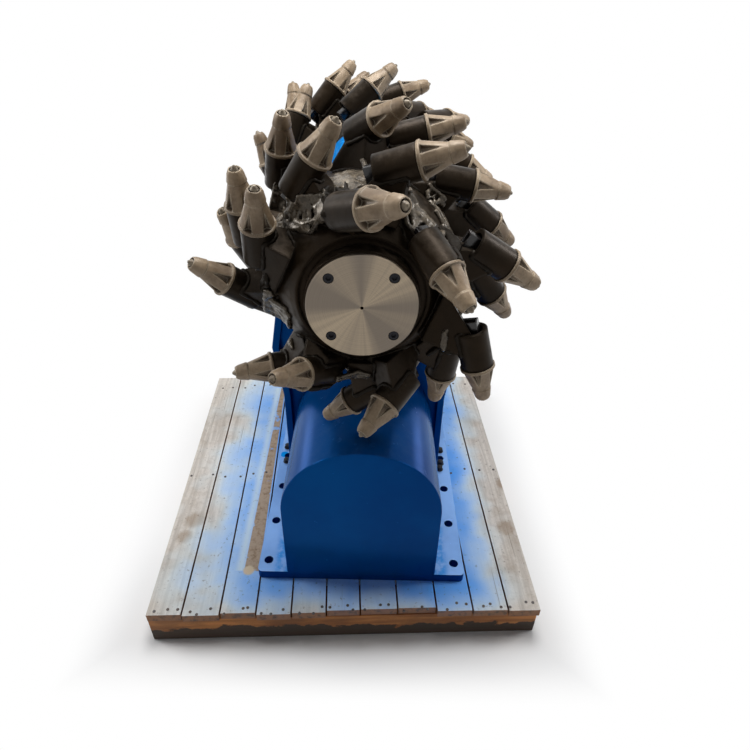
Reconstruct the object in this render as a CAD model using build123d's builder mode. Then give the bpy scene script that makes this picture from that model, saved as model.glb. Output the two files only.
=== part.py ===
from build123d import *
from math import radians, sin, cos
import os

# Twin drum cutter for an excavator, standing head up on its mounting plate on a timber pallet.
# The origin is the middle of the mounting plate's underside, Z is up and Y runs along the drum axis.
os.makedirs("parts", exist_ok=True)

# mounting plate
plateW = 600.0
plateL = 980.0
plateT = 30.0
plateCornerR = 14.0
holeR = 13.0
holeEdge = 27.5
holePitch = 150.0
holesPerSide = 7

# motor housing, an arch over the plate
archR = 214.0
archStraightH = 249.0
archEdgeR = 4.0
housingL = plateL

# gear case in the middle: a web, a wrap plate round it and the bearing bosses
caseT = 150.0
wrapW = 210.0
wrapT = 20.0
wrapEdgeR = 4.0
caseFootX = 249.0
caseWaistZ = 380.0
caseShoulderX = 272.0
caseShoulderZ = 552.0
caseCheekX = 200.0
caseCheekZ = 975.0
caseNoseX = 66.0
caseTopZ = 1096.0
caseWaistR = 160.0
caseShoulderR = 90.0
caseCheekR = 120.0
caseNoseR = 30.0

# drum axis, shaft and bearing bosses
axisZ = 900.0
shaftR = 78.0
runGap = 0.3
drumIn = 125.0
bossR = 132.0
bossOut = 118.0
bossRingR = 118.0
bossRingW = 6.0

# drum body, as radius against distance from the middle
drumHubR = 112.0
drumWallR = 192.0
drumMidR = 208.0
drumRimR = 192.0
drumEndR = 152.0
drumStepR = 139.0
drumLipR = 133.0
noseR = 119.0
drumShoulderOut = 140.0
drumMidOut = 320.0
drumRimOut = 402.0
drumEndOut = 450.0
drumStepOut = 462.0
drumLipOut = 456.0
drumHalf = 500.0

# end disc with its screw counterbores
discR = 115.0
discT = 8.0
discBevel = 1.5
screwPitchR = 92.0
screwHoleR = 11.0
screwCount = 4
screwTurn = 46.0
centreHoleR = 3.5
noseOut = drumHalf - discT

# picks: collar, fluted head, nose ring with its cup, shank and clip
collarR = 38.0
collarT = 7.0
headFootR = 33.5
headFootZ = 10.0
neckR = 20.0
neckZ = 57.0
noseRingR = 21.5
noseRingZ = 60.0
noseTopR = 17.5
noseTopZ = 79.0
noseRimR = 13.5
noseRimZ = 87.0
cupR = 11.5
cupZ = 79.0
fluteCount = 5
fluteR = 11.5
fluteAt = 37.0
fluteLean = 5.0
fluteL = 48.0
shankR = 17.0
shankL = 78.0
clipR = 19.5
clipZ = 72.0
clipT = 3.0

# hard tips
tipShoulderZ = 86.0
tipShoulderR = 8.5
tipEndR = 2.5
tipEndZ = 94.0
tipGap = 0.2

# holders: an open sleeve on a welded foot
sleeveR = 35.0
sleeveL = 86.0
boreR = shankR + runGap
mouthR = 25.0
mouthL = 20.0
footBack = 46.0
footTopL = 62.0
footTopW = 52.0
footLowL = 118.0
footLowW = 84.0
footSink = 16.0
footLean = 22.0

# pallet
plankPitch = 100.0
plankGap = 5.0
plankL = 1138.0
plankT = 26.0
bearerW = 98.0
bearerH = 92.0
bearerInset = 4.0
bearerCount = 3
palletX = -70.0
palletY = -27.0
palletTurn = 2.78

# widths of the planks from left to right, in shares of the pitch
plankShares = (0.99, 1.05, 1.0, 0.98, 0.97, 0.95, 1.05, 1.09, 1.01, 0.99, 0.92)
# how far each plank's ends are pushed back or forward, in shares of its thickness
plankPushShares = (0.1, -0.05, 0.15, -0.1, 0.0, 0.2, 0.25, 0.3, -0.15, -0.2, -0.3)

# picks of the front drum, each with these columns: angle round the drum from +X towards +Z,
# distance from the middle in shares of drumHalf, radius of the collar's middle in shares of
# pickCircleR, rake from the radius towards the turning direction, skew outwards along the axis
pickCircleR = 300.0
rearPhase = -41.0
pickShares = (
    (86, 1.20, 0.79, 60, 45),
    (31, 1.09, 0.62, 75, 50),
    (-30, 0.97, 0.97, 45, 5),
    (-78, 1.01, 0.83, 65, 42),
    (-130, 1.03, 0.67, 78, 45),
    (145, 0.86, 0.85, 60, 20),
    (110, 0.75, 0.93, 52, 12),
    (68, 0.85, 0.97, 50, 10),
    (12, 0.85, 1.01, 45, -4),
    (-51, 0.78, 0.99, 45, -6),
    (-95, 0.83, 1.0, 45, -4),
    (-136, 0.83, 0.99, 45, 18),
    (179, 0.77, 1.01, 42, 24),
    (84, 0.47, 1.02, 47, 38),
    (35, 0.47, 0.98, 45, 0),
    (-12, 0.59, 1.03, 42, -12),
    (-70, 0.54, 1.01, 48, 5),
    (-116, 0.5, 1.01, 48, 5),
    (150, 0.65, 1.0, 59, 16),
    (129, 0.38, 1.0, 48, 18),
    (10, 0.32, 1.03, 50, -12),
    (172, 0.44, 1.0, 62, 26),
    (-46, 0.36, 1.01, 48, 0),
    (-158, 0.44, 1.01, 48, 6),
    (-92, 0.31, 1.01, 48, -4),
    (62, 0.31, 1.0, 48, 0),
)


def wall_radius(out):
    # the drum body's own radius at a distance from the middle
    if out < drumMidOut:
        return drumWallR + (drumMidR - drumWallR) * (out - drumIn) / (drumMidOut - drumIn)
    if out < drumRimOut:
        return drumMidR + (drumRimR - drumMidR) * (out - drumMidOut) / (drumRimOut - drumMidOut)
    return drumRimR + (drumEndR - drumRimR) * (out - drumRimOut) / (drumEndOut - drumRimOut)


def radial(angle):
    return Vector(cos(radians(angle)), 0, sin(radians(angle)))


def turning(angle):
    return Vector(sin(radians(angle)), 0, -cos(radians(angle)))


def square_to(way, other):
    # the part of other that is square to way, at unit length
    return (other - way * way.dot(other)).normalized()


def seat(row, side):
    # the plane on which a pick's collar sits, its normal along the pick
    angle, outShare, radiusShare, rake, skew = row
    if side > 0:
        angle = angle + rearPhase
    flat = radial(angle) * cos(radians(rake)) + turning(angle) * sin(radians(rake))
    way = flat * cos(radians(skew)) + Vector(0, side, 0) * sin(radians(skew))
    middle = Vector(0, side * outShare * drumHalf, axisZ) + radial(angle) * (radiusShare * pickCircleR)
    return Plane(origin=middle - way * (collarT / 2), x_dir=way.cross(radial(angle)), z_dir=way)


def foot_planes(collarSeat, side):
    # the upper end of a holder's foot inside its sleeve, and the lower end inside the drum wall
    way = collarSeat.z_dir
    high = collarSeat.origin - way * footBack
    lift = Vector(high.X, 0, high.Z - axisZ).normalized()
    lowOut = max(drumShoulderOut + footLowW / 2, min(side * high.Y, drumEndOut - footSink))
    lowR = wall_radius(lowOut) - footSink
    low = Vector(0, side * lowOut, axisZ) + lift * lowR - square_to(lift, way) * footLean
    upper = Plane(origin=high, x_dir=way, z_dir=square_to(way, lift))
    lower = Plane(origin=low, x_dir=square_to(lift, way), z_dir=lift)
    return upper, lower


# mounting plate with its rows of bolt holes
with BuildPart() as mounting_plate:
    with BuildSketch(Plane.XY):
        RectangleRounded(plateW, plateL, plateCornerR)
        with GridLocations(plateW - 2 * holeEdge, holePitch, 2, holesPerSide):
            Circle(holeR, mode=Mode.SUBTRACT)
    extrude(amount=plateT)
mounting_plate.part.label = "mounting_plate"
export_step(mounting_plate.part, "parts/mounting_plate.step")

# motor housings, one each side of the gear case, with their flat end covers
archSpringZ = plateT + archStraightH
for side, word in ((-1, "front"), (1, "rear")):
    with BuildPart() as motor_housing:
        with BuildSketch(Plane.XZ.offset(-side * caseT / 2)):
            with BuildLine():
                Line((-archR, plateT), (-archR, archSpringZ))
                RadiusArc((-archR, archSpringZ), (archR, archSpringZ), archR)
                Line((archR, archSpringZ), (archR, plateT))
                Line((archR, plateT), (-archR, plateT))
            make_face()
        extrude(amount=-side * (housingL - caseT) / 2)
        endFace = motor_housing.faces().sort_by(Axis.Y)[0 if side < 0 else -1]
        endEdges = [e for e in endFace.edges() if e.center().Z > plateT + archEdgeR]
        fillet(endEdges, radius=archEdgeR)
    motor_housing.part.label = "motor_housing_" + word
    export_step(motor_housing.part, "parts/motor_housing_" + word + ".step")

# gear case: its outline is the same for the web and for the wrap plate that stands proud of it
with BuildSketch(Plane.XY) as caseOutline:
    with BuildLine():
        Polyline(
            (0, plateT),
            (caseFootX, plateT),
            (caseFootX, caseWaistZ),
            (caseShoulderX, caseShoulderZ),
            (caseCheekX, caseCheekZ),
            (caseNoseX, caseTopZ),
            (0, caseTopZ),
            close=True,
        )
    make_face()
    levels = caseOutline.vertices().group_by(Axis.Y)
    fillet(levels[1], radius=caseWaistR)
    fillet(levels[2], radius=caseShoulderR)
    fillet(levels[3], radius=caseCheekR)
    fillet(levels[4].sort_by(Axis.X)[-1], radius=caseNoseR)
    mirror(about=Plane.YZ)

with BuildPart() as gear_case:
    with BuildSketch(Plane.XZ.offset(-wrapW / 2)):
        add(caseOutline.sketch)
    extrude(amount=wrapW)
    rimFaces = gear_case.faces().sort_by(Axis.Y)
    rimEdges = [e for f in (rimFaces[0], rimFaces[-1]) for e in f.edges() if e.center().Z > plateT + wrapEdgeR]
    fillet(rimEdges, radius=wrapEdgeR)
    for side in (-1, 1):
        with BuildSketch(Plane.XZ.offset(-side * caseT / 2)):
            add(caseOutline.sketch)
            offset(amount=-wrapT, mode=Mode.REPLACE)
            with Locations((0, plateT + wrapT)):
                Rectangle(2 * (caseFootX - wrapT), 2 * wrapT)
        extrude(amount=-side * (wrapW - caseT) / 2, mode=Mode.SUBTRACT)
        with BuildSketch(Plane.XZ.offset(-side * caseT / 2)):
            with Locations((0, axisZ)):
                Circle(bossR)
        extrude(amount=-side * (bossOut - bossRingW - caseT / 2))
        with BuildSketch(Plane.XZ.offset(-side * (bossOut - bossRingW))):
            with Locations((0, axisZ)):
                Circle(bossRingR)
        extrude(amount=-side * bossRingW)
    with Locations(Plane((0, 0, axisZ), x_dir=(1, 0, 0), z_dir=(0, 1, 0))):
        Hole(shaftR + runGap)
gear_case.part.label = "gear_case"
export_step(gear_case.part, "parts/gear_case.step")

# drive shaft through the case
with BuildPart() as drive_shaft:
    with BuildSketch(Plane.XZ.offset(-drumIn)):
        with Locations((0, axisZ)):
            Circle(shaftR)
    extrude(amount=2 * drumIn)
drive_shaft.part.label = "drive_shaft"
export_step(drive_shaft.part, "parts/drive_shaft.step")

# one pick and one tip, copied into every holder
with BuildPart() as pick:
    with BuildSketch(Plane.XZ):
        with BuildLine():
            Polyline(
                (0, cupZ),
                (0, -shankL),
                (shankR, -shankL),
                (shankR, -clipZ),
                (clipR, -clipZ),
                (clipR, clipT - clipZ),
                (shankR, clipT - clipZ),
                (shankR, 0),
                (collarR, 0),
                (collarR, collarT),
                (headFootR, headFootZ),
                (neckR, neckZ),
                (noseRingR, noseRingZ),
                (noseTopR, noseTopZ),
                (noseRimR, noseRimZ),
                (cupR, noseRimZ),
                (cupR, cupZ),
                close=True,
            )
        make_face()
    revolve(axis=Axis.Z)
    with PolarLocations(fluteAt, fluteCount):
        with Locations((0, 0, collarT)):
            Cylinder(
                fluteR,
                fluteL,
                rotation=(0, -fluteLean, 0),
                align=(Align.CENTER, Align.CENTER, Align.MIN),
                mode=Mode.SUBTRACT,
            )

with BuildPart() as tip:
    with BuildSketch(Plane.XZ):
        with BuildLine():
            Polyline(
                (0, cupZ),
                (cupR - tipGap, cupZ),
                (tipShoulderR, tipShoulderZ),
                (tipEndR, tipEndZ),
                (0, tipEndZ),
                close=True,
            )
        make_face()
    revolve(axis=Axis.Z)

for side, word in ((-1, "front"), (1, "rear")):
    seats = [seat(row, side) for row in pickShares]

    # drum body, turned about the drum axis, with every holder welded on it
    with BuildPart() as drum:
        with BuildSketch(Plane.YZ):
            with BuildLine():
                Polyline(
                    (side * drumIn, axisZ),
                    (side * drumIn, axisZ + drumHubR),
                    (side * drumShoulderOut, axisZ + drumHubR),
                    (side * drumShoulderOut, axisZ + drumWallR),
                    (side * drumMidOut, axisZ + drumMidR),
                    (side * drumRimOut, axisZ + drumRimR),
                    (side * drumEndOut, axisZ + drumEndR),
                    (side * drumStepOut, axisZ + drumStepR),
                    (side * drumStepOut, axisZ + drumLipR),
                    (side * drumLipOut, axisZ + drumLipR),
                    (side * drumLipOut, axisZ + noseR),
                    (side * noseOut, axisZ + noseR),
                    (side * noseOut, axisZ),
                    close=True,
                )
            make_face()
        revolve(axis=Axis((0, 0, axisZ), (0, 1, 0)))
        for collarSeat in seats:
            with BuildSketch(collarSeat):
                Circle(sleeveR)
            extrude(amount=-sleeveL)
            upper, lower = foot_planes(collarSeat, side)
            with BuildSketch(upper):
                Rectangle(footTopL, footTopW)
            with BuildSketch(lower):
                Rectangle(footLowL, footLowW)
            loft()
        for collarSeat in seats:
            with BuildSketch(collarSeat):
                Circle(boreR)
            extrude(amount=-sleeveL, mode=Mode.SUBTRACT)
            with BuildSketch(collarSeat.offset(-sleeveL)):
                Circle(mouthR)
            extrude(amount=mouthL, mode=Mode.SUBTRACT)
    drum.part.label = "drum_" + word
    export_step(drum.part, "parts/drum_" + word + ".step")

    with BuildPart() as picks:
        for collarSeat in seats:
            with Locations(collarSeat.location):
                add(pick.part)
    picks.part.label = "picks_" + word
    export_step(picks.part, "parts/picks_" + word + ".step")

    with BuildPart() as tips:
        for collarSeat in seats:
            with Locations(collarSeat.location):
                add(tip.part)
    tips.part.label = "tips_" + word
    export_step(tips.part, "parts/tips_" + word + ".step")

    # bright end disc with its screw counterbores
    with BuildPart() as end_disc:
        with BuildSketch(Plane.XZ.offset(-side * noseOut)):
            with Locations((0, axisZ)):
                Circle(discR)
                Circle(centreHoleR, mode=Mode.SUBTRACT)
                with PolarLocations(screwPitchR, screwCount, start_angle=screwTurn):
                    Circle(screwHoleR, mode=Mode.SUBTRACT)
        extrude(amount=-side * discT)
        outerFace = end_disc.faces().sort_by(Axis.Y)[0 if side < 0 else -1]
        chamfer(outerFace.outer_wire().edges(), length=discBevel)
    end_disc.part.label = "end_disc_" + word
    export_step(end_disc.part, "parts/end_disc_" + word + ".step")

# pallet: planks front to back over bearers
palletW = plankPitch * sum(plankShares)
palletSpot = Location((palletX, palletY, 0), (0, 0, palletTurn))
with BuildPart() as pallet_planks:
    with Locations(palletSpot):
        for at, widthShare in enumerate(plankShares):
            plankX = plankPitch * (sum(plankShares[:at]) + widthShare / 2) - palletW / 2
            with Locations((plankX, plankPushShares[at] * plankT, 0)):
                Box(
                    widthShare * plankPitch - plankGap,
                    plankL,
                    plankT,
                    align=(Align.CENTER, Align.CENTER, Align.MAX),
                )
pallet_planks.part.label = "pallet_planks"
export_step(pallet_planks.part, "parts/pallet_planks.step")

bearerPitch = (plankL - bearerW - 2 * bearerInset) / (bearerCount - 1)
with BuildPart() as pallet_bearers:
    with Locations(palletSpot):
        with Locations((0, 0, -plankT)):
            with GridLocations(0, bearerPitch, 1, bearerCount):
                Box(
                    palletW - plankGap,
                    bearerW,
                    bearerH,
                    align=(Align.CENTER, Align.CENTER, Align.MAX),
                )
pallet_bearers.part.label = "pallet_bearers"
export_step(pallet_bearers.part, "parts/pallet_bearers.step")
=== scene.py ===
import math
import random

import bmesh
import bpy
from mathutils import Matrix, Vector


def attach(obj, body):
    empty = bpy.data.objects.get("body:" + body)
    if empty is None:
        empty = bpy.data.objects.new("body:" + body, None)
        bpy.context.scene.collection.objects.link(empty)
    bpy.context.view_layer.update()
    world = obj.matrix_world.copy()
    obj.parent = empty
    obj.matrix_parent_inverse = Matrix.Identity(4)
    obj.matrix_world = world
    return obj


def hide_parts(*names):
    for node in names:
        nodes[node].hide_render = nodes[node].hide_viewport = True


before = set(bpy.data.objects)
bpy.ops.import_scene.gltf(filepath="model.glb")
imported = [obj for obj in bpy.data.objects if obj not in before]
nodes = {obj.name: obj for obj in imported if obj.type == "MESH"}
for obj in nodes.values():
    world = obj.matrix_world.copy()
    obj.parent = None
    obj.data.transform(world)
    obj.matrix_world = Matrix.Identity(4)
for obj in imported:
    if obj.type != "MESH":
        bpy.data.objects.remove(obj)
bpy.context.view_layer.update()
print("frame loaded,", len(nodes), "nodes")

# camera, as measured from the photograph
view = {
    "place": (0.0211, -1.5255, 1.4479),
    "turn": (55.229, -0.378, 1.102),
    "lens": 27.494,
    "shiftX": 0.0142,
}
bothSides = ((-1, "front"), (1, "rear"))
drumAxis = Vector((0, 0, 0.9))
plateTopZ = 0.03
floorZ = -0.118
scene = bpy.context.scene


def addObject(name, data):
    item = bpy.data.objects.new(name, data)
    scene.collection.objects.link(item)
    return item


def makeCamera():
    data = bpy.data.cameras.new("viewCamera")
    data.lens = view["lens"]
    data.sensor_width = 36
    data.shift_x = view["shiftX"]
    data.clip_start = 0.05
    camera = addObject("viewCamera", data)
    camera.location = view["place"]
    camera.rotation_euler = [math.radians(a) for a in view["turn"]]
    scene.camera = camera


def makeLamp(name, place, target, size, power):
    data = bpy.data.lights.new(name, "AREA")
    data.shape = "RECTANGLE"
    data.size = data.size_y = size
    data.energy = power
    lamp = addObject(name, data)
    lamp.location = place
    lamp.rotation_euler = (Vector(target) - Vector(place)).to_track_quat("-Z", "Y").to_euler()


# helpers for the node trees

def plug(tree, node, inputs):
    # a socket is linked, and anything else is set as a value
    for name, value in inputs.items():
        if isinstance(value, bpy.types.NodeSocket):
            tree.links.new(value, node.inputs[name])
        else:
            node.inputs[name].default_value = value
    return node


def put(tree, kind, inputs=None, **settings):
    node = tree.nodes.new(kind)
    for name, value in settings.items():
        setattr(node, name, value)
    return plug(tree, node, inputs or {})


def calc(tree, operation, a, b=0.0, c=0.0, clamp=False):
    inputs = {0: a, 1: b, 2: c}
    return put(tree, "ShaderNodeMath", inputs, operation=operation, use_clamp=clamp).outputs[0]


def times(tree, a, b, clamp=False):
    return calc(tree, "MULTIPLY", a, b, clamp=clamp)


def timesPlus(tree, a, b, c):
    return calc(tree, "MULTIPLY_ADD", a, b, c)


def without(tree, mask):
    return calc(tree, "SUBTRACT", 1.0, mask)


def vector(tree, operation, a, b=(0, 0, 0)):
    node = put(tree, "ShaderNodeVectorMath", {0: a, 1: b}, operation=operation)
    single = operation in ("DOT_PRODUCT", "LENGTH", "DISTANCE")
    return node.outputs["Value" if single else "Vector"]


def part(tree, value, axis):
    return put(tree, "ShaderNodeSeparateXYZ", {0: value}).outputs[axis]


def objectPlace(tree):
    return put(tree, "ShaderNodeTexCoord").outputs["Object"]


def faceNormal(tree):
    return put(tree, "ShaderNodeNewGeometry").outputs["Normal"]


def noise(tree, place, scale, detail, rough=0.5, distort=0.0):
    inputs = {"Vector": place, "Scale": scale, "Detail": detail}
    inputs.update(Roughness=rough, Distortion=distort)
    return put(tree, "ShaderNodeTexNoise", inputs).outputs[0]


def blendColour(tree, factor, a, b):
    return put(tree, "ShaderNodeMix", {0: factor, 6: a, 7: b}, data_type="RGBA").outputs[2]


def layer(tree, base, *coats):
    # coats over the base one after the other: mask, colour and, where it isn't whole, share
    for mask, coat, *share in coats:
        if share:
            mask = times(tree, mask, share[0])
        base = blendColour(tree, mask, base, coat)
    return base


def ease(tree, value, low, high, toLow=0.0, toHigh=1.0):
    # a smooth step from low to high
    inputs = {"Value": value, "From Min": low, "From Max": high, "To Min": toLow, "To Max": toHigh}
    return put(tree, "ShaderNodeMapRange", inputs, interpolation_type="SMOOTHSTEP").outputs[0]


def fade(tree, value, low, high):
    return without(tree, ease(tree, value, low, high))


def bump(tree, height, strength, distance, normal=None):
    inputs = {"Height": height, "Strength": strength, "Distance": distance}
    if normal is not None:
        inputs["Normal"] = normal
    return put(tree, "ShaderNodeBump", inputs).outputs[0]


def colour(r, g, b):
    return (r, g, b, 1.0)


def startGroup(name, inputs):
    group = bpy.data.node_groups.new(name, "ShaderNodeTree")
    for label, value in inputs.items():
        kind = "NodeSocketFloat" if isinstance(value, float) else "NodeSocketVector"
        socket = group.interface.new_socket(name=label, in_out="INPUT", socket_type=kind)
        socket.default_value = value
    return group, group.nodes.new("NodeGroupInput").outputs


def endGroup(group, **results):
    kinds = {"VALUE": "NodeSocketFloat", "VECTOR": "NodeSocketVector"}
    for label, socket in results.items():
        kind = kinds[socket.type]
        group.interface.new_socket(name=label, in_out="OUTPUT", socket_type=kind)
    plug(group, group.nodes.new("NodeGroupOutput"), results)
    return group


def use(tree, group, **inputs):
    node = tree.nodes.new("ShaderNodeGroup")
    node.node_tree = group
    return plug(tree, node, inputs).outputs


# effects that several finishes share, with the stretches of noise or slope over which they show
effect = {
    "edgeShows": (0.01, 0.22),
    "wearShows": (0.42, 0.62),
    "facesUp": (0.2, 0.95),
    "topPatchShows": (0.38, 0.68),
    "recessShows": (0.08, 0.6),
    "fibreStretch": (70, 3.2, 70),
    "crackStretch": (190, 2.4, 190),
    "crackShows": (0.68, 0.76),
    "crackDeep": 0.9,
    "fleckScale": 95.0,
    "fleckShows": (0.6, 0.72),
}


def makeEdgeWear():
    inputs = {"Width": 0.002, "Break": 60.0, "Amount": 0.5, "Keep": 0.0}
    group, given = startGroup("edgeWear", inputs)
    rounded = put(group, "ShaderNodeBevel", {"Radius": given["Width"]}, samples=4).outputs[0]
    same = vector(group, "DOT_PRODUCT", rounded, faceNormal(group))
    edge = ease(group, without(group, same), *effect["edgeShows"])
    broken = noise(group, objectPlace(group), given["Break"], 6.0, 0.65)
    worn = calc(group, "MAXIMUM", ease(group, broken, *effect["wearShows"]), given["Keep"])
    mask = times(group, times(group, edge, worn), given["Amount"], clamp=True)
    return endGroup(group, Mask=mask, Round=rounded)


def makePatches():
    inputs = {"Scale": 5.0, "Low": 0.4, "High": 0.6, "Detail": 5.0, "Stretch": (1, 1, 1)}
    group, given = startGroup("patches", inputs)
    stretched = vector(group, "MULTIPLY", objectPlace(group), given["Stretch"])
    field = noise(group, stretched, given["Scale"], given["Detail"], 0.6)
    return endGroup(group, Mask=ease(group, field, given["Low"], given["High"]), Field=field)


def makeDustAndSheen():
    # dust that settles on what faces up; laid on the black paint and on the welds, the same mask is
    # also a painted sheen on the tops
    group, given = startGroup("settledDustAndSheen", {"Scale": 14.0, "Amount": 0.4})
    up = ease(group, part(group, faceNormal(group), "Z"), *effect["facesUp"])
    field = noise(group, objectPlace(group), given["Scale"], 8.0, 0.7)
    mask = times(group, up, ease(group, field, *effect["topPatchShows"]))
    return endGroup(group, Mask=times(group, mask, given["Amount"], clamp=True))


def makeGrain():
    # long timber fibres along local Y, with cracks
    group, given = startGroup("timberGrain", {"Vector": (0, 0, 0), "Coarse": 1.0})
    place = given["Vector"]
    along = vector(group, "MULTIPLY", place, effect["fibreStretch"])
    fibre = noise(group, along, given["Coarse"], 7.0, 0.62, 0.4)
    thin = vector(group, "MULTIPLY", place, effect["crackStretch"])
    crack = ease(group, noise(group, thin, 1.0, 3.0), *effect["crackShows"])
    fleck = ease(group, noise(group, place, effect["fleckScale"], 4.0, 0.6), *effect["fleckShows"])
    height = calc(group, "SUBTRACT", fibre, times(group, crack, effect["crackDeep"]))
    return endGroup(group, Fibre=fibre, Crack=crack, Fleck=fleck, Height=height)


def makeRecess():
    # painted shade in corners and flutes, together with the dark grime that gathers there
    group, given = startGroup("recessShadeAndGrime", {"Reach": 0.02, "Amount": 0.8})
    around = put(group, "ShaderNodeAmbientOcclusion", {"Distance": given["Reach"]}, samples=6)
    mask = ease(group, without(group, around.outputs["AO"]), *effect["recessShows"])
    return endGroup(group, Mask=times(group, mask, given["Amount"], clamp=True))


edgeWear = makeEdgeWear()
recessShadeAndGrime = makeRecess()
patches = makePatches()
settledDustAndSheen = makeDustAndSheen()
timberGrain = makeGrain()
print("shared effects made")


def patch(tree, scale, low, high, **more):
    # scale of the noise, and the stretch of it over which the mask rises
    return use(tree, patches, Scale=scale, Low=low, High=high, **more)


def startMaterial(name):
    material = bpy.data.materials.new(name)
    material.use_nodes = True
    tree = material.node_tree
    return material, tree, tree.nodes["Principled BSDF"]


def finish(tree, shader, look, base, field, height, normal=None):
    # rough is the share that the field adds, and the least; relief is strength and depth
    inputs = {
        "Base Color": base,
        "Roughness": timesPlus(tree, field, *look["rough"]),
        "Normal": bump(tree, height, *look["relief"], normal),
    }
    plug(tree, shader, {**inputs, **look.get("plain", {})})


bluePaintLook = {
    "paint": colour(0.0006, 0.066, 0.255),
    "deep": colour(0.0005, 0.045, 0.2),
    "primer": colour(0.06, 0.06, 0.065),
    "dustAndSheen": colour(0.16, 0.2, 0.34),
    "sheenAndBloom": colour(0.3, 0.54, 1.0),
    "azure": colour(0.0005, 0.27, 0.78),
    "aboveTop": (plateTopZ + 0.001, plateTopZ + 0.003),
    "facesUp": (0.9, 0.98),
    "sheenAndBloomCloud": (0.3, 0.6, 0.6, 1.0),
    "topLightFrom": (1.02, 1.09),
    "topLightShare": 0.85,
    "footBand": (0.238, 0.262),
    "footCloud": (0.35, 0.6),
    "footShare": 0.8,
    "spotAt": (-0.287, 0.006, plateTopZ),
    "spotEdge": (0.013, 0.017),
    "peelScale": 260.0,
    "fineRough": 0.08,
    "dustRough": 0.5,
    "rough": (1.0, 0.2),
    "relief": (0.05, 0.001),
    "plain": {
        "Metallic": 0.27,
        "Specular IOR Level": 0.04,
        "Specular Tint": colour(0.22, 0.58, 1.0),
    },
}


def makeBluePaint():
    look = bluePaintLook
    material, tree, shader = startMaterial("bluePaint")
    wear = use(tree, edgeWear, Width=0.002, Break=45.0, Amount=0.45)
    broad = patch(tree, 2.6, 0.35, 0.7)
    fine = patch(tree, 34.0, 0.5, 0.75)
    dustAndSheen = use(tree, settledDustAndSheen, Scale=22.0, Amount=0.08)
    place = objectPlace(tree)
    height = part(tree, place, "Z")
    # the flat plate's top carries a painted sheen of reflected bright surroundings, together with a
    # pale bloom of dry spray
    low = fade(tree, height, *look["aboveTop"])
    onTop = times(tree, low, ease(tree, part(tree, faceNormal(tree), "Z"), *look["facesUp"]))
    sheenAndBloom = times(tree, onTop, ease(tree, broad["Field"], *look["sheenAndBloomCloud"]))
    # the top of the gear case is painted a brighter azure, as painted light falling on it from above
    high = times(tree, ease(tree, height, *look["topLightFrom"]), look["topLightShare"])
    # the same azure marks one small spot on the plate and the line along the foot of the housings,
    # where it takes the place of the painted sheen
    sideways = calc(tree, "ABSOLUTE", part(tree, place, "X"))
    foot = fade(tree, sideways, *look["footBand"])
    foot = times(tree, foot, ease(tree, fine["Field"], *look["footCloud"]))
    spotAway = vector(tree, "DISTANCE", place, look["spotAt"])
    spot = fade(tree, spotAway, *look["spotEdge"])
    either = calc(tree, "MAXIMUM", times(tree, foot, look["footShare"]), spot)
    base = layer(
        tree, look["paint"],
        (broad["Mask"], look["deep"]),
        (high, look["azure"]),
        (sheenAndBloom, look["sheenAndBloom"]),
        (times(tree, onTop, either), look["azure"]),
        (dustAndSheen["Mask"], look["dustAndSheen"]),
        (wear["Mask"], look["primer"]),
    )
    uneven = times(tree, fine["Mask"], look["fineRough"])
    uneven = timesPlus(tree, dustAndSheen["Mask"], look["dustRough"], uneven)
    peel = noise(tree, place, look["peelScale"], 2.0)
    finish(tree, shader, look, base, uneven, peel, wear["Round"])
    return material


blackPaintLook = {
    "paint": colour(0.006, 0.004, 0.0022),
    "brown": colour(0.02, 0.0125, 0.0068),
    "bare": colour(0.12, 0.1, 0.08),
    "dustAndSheen": colour(0.085, 0.067, 0.05),
    "broadShare": 1.5,
    "rough": (0.22, 0.3),
    "relief": (0.35, 0.0012),
    "plain": {"Specular IOR Level": 0.12, "Specular Tint": colour(1.0, 0.76, 0.56)},
}


def makeBlackPaint():
    look = blackPaintLook
    material, tree, shader = startMaterial("blackPaint")
    wear = use(tree, edgeWear, Width=0.0022, Break=70.0, Amount=0.7)
    soft = use(tree, edgeWear, Width=0.009, Amount=0.0)
    broad = patch(tree, 7.0, 0.4, 0.68)
    fine = patch(tree, 60.0, 0.45, 0.72)
    # the pale dust on up-facing faces is partly a painted sheen on the tops
    dustAndSheen = use(tree, settledDustAndSheen, Scale=30.0, Amount=0.45)
    base = layer(
        tree, look["paint"],
        (broad["Mask"], look["brown"]), (dustAndSheen["Mask"], look["dustAndSheen"]), (wear["Mask"], look["bare"]),
    )
    height = timesPlus(tree, broad["Field"], look["broadShare"], fine["Field"])
    finish(tree, shader, look, base, fine["Mask"], height, soft["Round"])
    return material


weldLook = {
    "paint": colour(0.0055, 0.0038, 0.0024),
    "scuffAndSheen": colour(0.016, 0.012, 0.008),
    "rough": (0.2, 0.35),
    "relief": (0.6, 0.002),
    "plain": {"Specular IOR Level": 0.1, "Specular Tint": colour(1.0, 0.88, 0.74)},
}
# a lighter copy of the weld finish for the patches on top, its colours painted as lit from above
brightWeldLook = {
    "paint": colour(0.016, 0.0125, 0.009),
    "scuffAndSheen": colour(0.27, 0.22, 0.16),
    "rough": (0.2, 0.2),
    "relief": (0.6, 0.002),
    "plain": {"Specular IOR Level": 0.5, "Specular Tint": colour(1.0, 0.88, 0.74)},
}


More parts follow.
